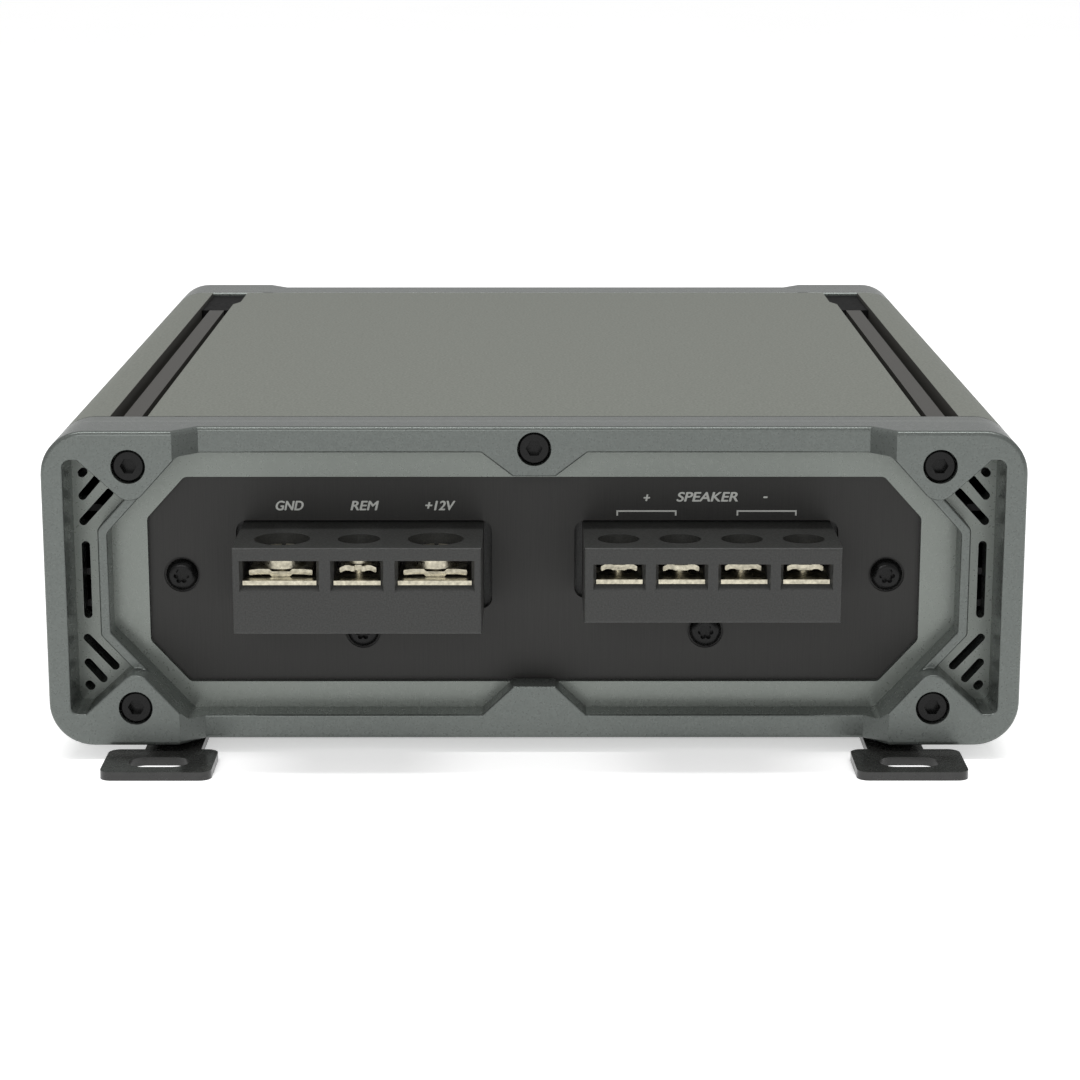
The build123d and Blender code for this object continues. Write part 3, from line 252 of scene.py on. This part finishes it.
def metal(name, colour, roughness, stretch):
    """Bare or plated metal with brushing along a stretched axis."""
    s = Surface(name, colour, roughness, 1.0)
    grain = s.noise(0.4 * MM, 3.0, stretch)
    s.vary_colour(grain, 0.08)
    s.vary_roughness(grain, 0.08)
    s.bump(grain, 0.01 * MM, 0.4)
    return s.material


def ink():
    """Pale grey print on the panel."""
    s = Surface("label_ink", (0.52, 0.53, 0.50), 0.6)
    s.vary_colour(s.noise(0.3 * MM), 0.06)
    s.bump(s.noise(0.3 * MM), 0.005 * MM, 0.5)
    return s.material


CAP = cap_paint()
BODY = body_paint()
PANEL = panel_paint()
TERMINAL = terminal_plastic()
PLATED = plated_metal()
OXIDE = black_oxide()
POWDER = powder_coat()
BLACK = moulded("black_plastic", (0.006, 0.006, 0.006), 0.7, 0.1)
KNOB = moulded("knob_plastic", (0.022, 0.022, 0.023), 0.42)
BOARD = moulded("board_mask", (0.006, 0.055, 0.022), 0.35)
FERRITE = moulded("ferrite", (0.035, 0.034, 0.033), 0.7)
SLEEVE = moulded("capacitor_sleeve", (0.012, 0.012, 0.022), 0.22)
EPOXY = moulded("epoxy", (0.016, 0.016, 0.017), 0.5)
PAD = moulded("thermal_pad", (0.34, 0.37, 0.40), 0.75)
LIGHT_PIPE = moulded("light_pipe", (0.62, 0.68, 0.62), 0.15)
COPPER = metal("copper_wire", (0.62, 0.24, 0.09), 0.3, (1.0, 1.0, 12.0))
STEEL = metal("zinc_steel", (0.56, 0.56, 0.54), 0.35, (10.0, 1.0, 1.0))
INK = ink()

CAD_LOOKS = {
    "heatsink_body": BODY,
    "channel_plugs": BLACK,
    "bottom_plate": POWDER,
    "front_end_cap": CAP,
    "rear_end_cap": CAP,
    "front_panel": PANEL,
    "rear_panel": PANEL,
    "power_terminal_block": TERMINAL,
    "speaker_terminal_block": TERMINAL,
    "power_contact_bars": PLATED,
    "speaker_contact_bars": PLATED,
    "rca_sleeves": PLATED,
    "rca_centre_contacts": PLATED,
    "circuit_board": BOARD,
    "board_standoffs": STEEL,
    "board_screws": STEEL,
    "bulk_capacitors": SLEEVE,
    "transformer_core": FERRITE,
    "inductor_core": FERRITE,
    "transformer_winding": COPPER,
    "inductor_winding": COPPER,
    "power_transistors": EPOXY,
    "thermal_pads": PAD,
    "transistor_clamp_bars": STEEL,
    "transistor_clamp_screws": STEEL,
    "rca_jack_block": BLACK,
    "control_pots": BLACK,
    "remote_level_jack": BLACK,
    "filter_switch_body": BLACK,
    "filter_switch_lever": KNOB,
    "status_light_pipes": LIGHT_PIPE,
}
TERMINALS = ("ground", "remote", "supply", "speaker_1", "speaker_2", "speaker_3", "speaker_4")
for terminal in TERMINALS:
    CAD_LOOKS[terminal + "_clamp"] = PLATED
    CAD_LOOKS[terminal + "_screw"] = PLATED


def look_of(name):
    """The material of a CAD node."""
    if name in CAD_LOOKS:
        return CAD_LOOKS[name]
    if name.endswith("_foot"):
        return POWDER
    if name.endswith("_knob"):
        return KNOB
    return OXIDE


for name, node in nodes.items():
    node.data.materials.clear()
    node.data.materials.append(look_of(name))


# ---- Print on the panels ------------------------------------------------------------
PRINT_HEIGHT = 0.02 * MM      # how far print stands off the panel
LETTER_LEAN = 0.22
LETTER_WEIGHT = 0.045         # how far a letter is spread, as a share of its height
FONT_CAP_SHARE = 0.69         # height of a capital, as a share of the font's size
PRINT_LAYERS = ((-1, 0), (1, 0), (0, 0.6), (0, -0.6))   # shifts that make a letter bolder
LAYER_STEP = PRINT_HEIGHT / 6
panel_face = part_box("front_panel")[0].y


def add_piece(name, mesh, material):
    """Put a mesh of one material in the scene."""
    mesh.materials.clear()
    mesh.materials.append(material)
    piece = bpy.data.objects.new(name, mesh)
    scene.collection.objects.link(piece)
    return piece


def printed_text(name, text, x, z, cap_height, width):
    """Slanted lettering on the front panel, centred at x and z and fitted to a width."""
    curve = bpy.data.curves.new(name, "FONT")
    curve.body = text
    curve.size = cap_height / FONT_CAP_SHARE
    curve.shear = LETTER_LEAN
    curve.align_x = "CENTER"
    curve.align_y = "CENTER"
    curve.extrude = PRINT_HEIGHT / 2
    letters = bpy.data.objects.new(name, curve)
    scene.collection.objects.link(letters)
    letters.rotation_euler = (math.radians(90), 0, 0)
    letters.location = (x, panel_face - PRINT_HEIGHT, z)
    bpy.context.view_layer.update()
    mesh = bpy.data.meshes.new_from_object(letters.evaluated_get(
        bpy.context.evaluated_depsgraph_get()))
    spread = LETTER_WEIGHT * cap_height
    mesh.transform(Matrix.Scale((width - 2 * spread) / letters.dimensions.x, 4, (1, 0, 0)))
    mesh.transform(letters.matrix_world)
    bpy.data.objects.remove(letters)
    stacked = bmesh.new()
    for layer, (across, up) in enumerate(PRINT_LAYERS):
        copy = mesh.copy()
        copy.transform(Matrix.Translation((across * spread, -layer * LAYER_STEP, up * spread)))
        stacked.from_mesh(copy)
        bpy.data.meshes.remove(copy)
    stacked.to_mesh(mesh)
    stacked.free()
    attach(add_piece(name, mesh, INK), "root")


def terminal_x(name):
    """Where a terminal's screw stands, across the front."""
    low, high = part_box(name + "_screw")
    return (low.x + high.x) / 2


LETTER_HEIGHT = 1.62 * MM
POWER_LABEL_Z = 42.75 * MM
POWER_LABELS = (("ground", "GND", 4.9 * MM), ("remote", "REM", 5.0 * MM), ("supply", "+12V", 5.3 * MM))
for name, text, width in POWER_LABELS:
    printed_text("label_" + name, text, terminal_x(name), POWER_LABEL_Z, LETTER_HEIGHT, width)

# Name, text, shift from the middle of the speaker terminals, height above the floor, width.
SPEAKER_LABELS = (
    ("label_speaker", "SPEAKER", 0.0, 44.3 * MM, 10.7 * MM),
    ("label_plus", "+", -10.6 * MM, 44.1 * MM, 1.15 * MM),
    ("label_minus", "-", 10.1 * MM, 44.5 * MM, 0.8 * MM),
)
speaker_mid = (terminal_x("speaker_1") + terminal_x("speaker_4")) / 2
for name, text, shift, z, width in SPEAKER_LABELS:
    printed_text(name, text, speaker_mid + shift, z, LETTER_HEIGHT, width)

BRACKET_Z = 42.0 * MM
BRACKET_LINE = 0.28 * MM
BRACKET_TICK = 0.95 * MM
BRACKET_RISE = 1.5 * PRINT_HEIGHT


def bracket(name, x_left, x_right, z):
    """A printed bar with a short tick down at each end."""
    low = z - BRACKET_TICK
    middle = z - BRACKET_LINE
    inner_left = x_left + BRACKET_LINE
    inner_right = x_right - BRACKET_LINE
    outline = [(x_left, z), (x_right, z), (x_right, low), (inner_right, low),
               (inner_right, middle), (inner_left, middle), (inner_left, low), (x_left, low)]
    mesh = bpy.data.meshes.new(name)
    build = bmesh.new()
    face_y = panel_face - BRACKET_RISE
    face = build.faces.new([build.verts.new((x, face_y, z)) for x, z in outline])
    grown = bmesh.ops.extrude_face_region(build, geom=[face])
    for vertex in [v for v in grown["geom"] if isinstance(v, bmesh.types.BMVert)]:
        vertex.co.y += PRINT_HEIGHT
    bmesh.ops.recalc_face_normals(build, faces=build.faces)
    bmesh.ops.triangulate(build, faces=[f for f in build.faces if len(f.verts) > 4])
    build.to_mesh(mesh)
    build.free()
    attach(add_piece(name, mesh, INK), "root")


bracket("bracket_plus", terminal_x("speaker_1"), terminal_x("speaker_2"), BRACKET_Z)
bracket("bracket_minus", terminal_x("speaker_3"), terminal_x("speaker_4"), BRACKET_Z)


# ---- Stage --------------------------------------------------------------------------
FLOOR_HALF = 6.0
FLOOR_GLOW = 0.48             # keeps the far floor white
WORLD_STRENGTH = 0.55
WHITE = (1.0, 1.0, 1.0, 1.0)


def floor():
    """A white floor, far larger than the view."""
    mesh = bpy.data.meshes.new("floor")
    build = bmesh.new()
    bmesh.ops.create_grid(build, x_segments=1, y_segments=1, size=FLOOR_HALF)
    build.to_mesh(mesh)
    build.free()
    s = Surface("floor_white", (0.93, 0.93, 0.93), 0.9)
    s.vary_colour(s.noise(0.2), 0.01)
    s.shader.inputs["Emission Color"].default_value = WHITE
    s.shader.inputs["Emission Strength"].default_value = FLOOR_GLOW
    add_piece("floor", mesh, s.material)


def area_light(name, place, aim, size, power, shape):
    """A rectangular softbox, whose height is its size times its shape."""
    data = bpy.data.lights.new(name, "AREA")
    data.shape = "RECTANGLE"
    data.size = size
    data.size_y = size * shape
    data.energy = power
    light = bpy.data.objects.new(name, data)
    light.location = place
    light.rotation_euler = (Vector(aim) - Vector(place)).to_track_quat("-Z", "Y").to_euler()
    scene.collection.objects.link(light)


floor()
world = bpy.data.worlds.new("studio")
scene.world = world
world.use_nodes = True
background = world.node_tree.nodes["Background"]
background.inputs["Color"].default_value = WHITE
background.inputs["Strength"].default_value = WORLD_STRENGTH
area_light("overhead", (0.0, -0.15, 1.0), (0, -0.09, 0.05), 1.1, 6.0, 0.10)
area_light("front_key", (-0.25, -1.5, 0.50), (0, -0.09, 0.03), 0.7, 3.5, 0.6)

# ---- Camera -------------------------------------------------------------------------
CAMERA_TILT_DOWN = math.radians(12.814)
CAMERA_TURN = math.radians(-0.0385)
camera_data = bpy.data.cameras.new("camera")
camera_data.sensor_width = 36.0
camera_data.lens = 93.05
camera_data.clip_start = 0.01
camera = bpy.data.objects.new("camera", camera_data)
camera.location = (0.00068, -0.5588, 0.1449)
camera.rotation_euler = (math.radians(90) - CAMERA_TILT_DOWN, 0, CAMERA_TURN)
scene.collection.objects.link(camera)
scene.camera = camera
scene.view_settings.view_transform = "Standard"
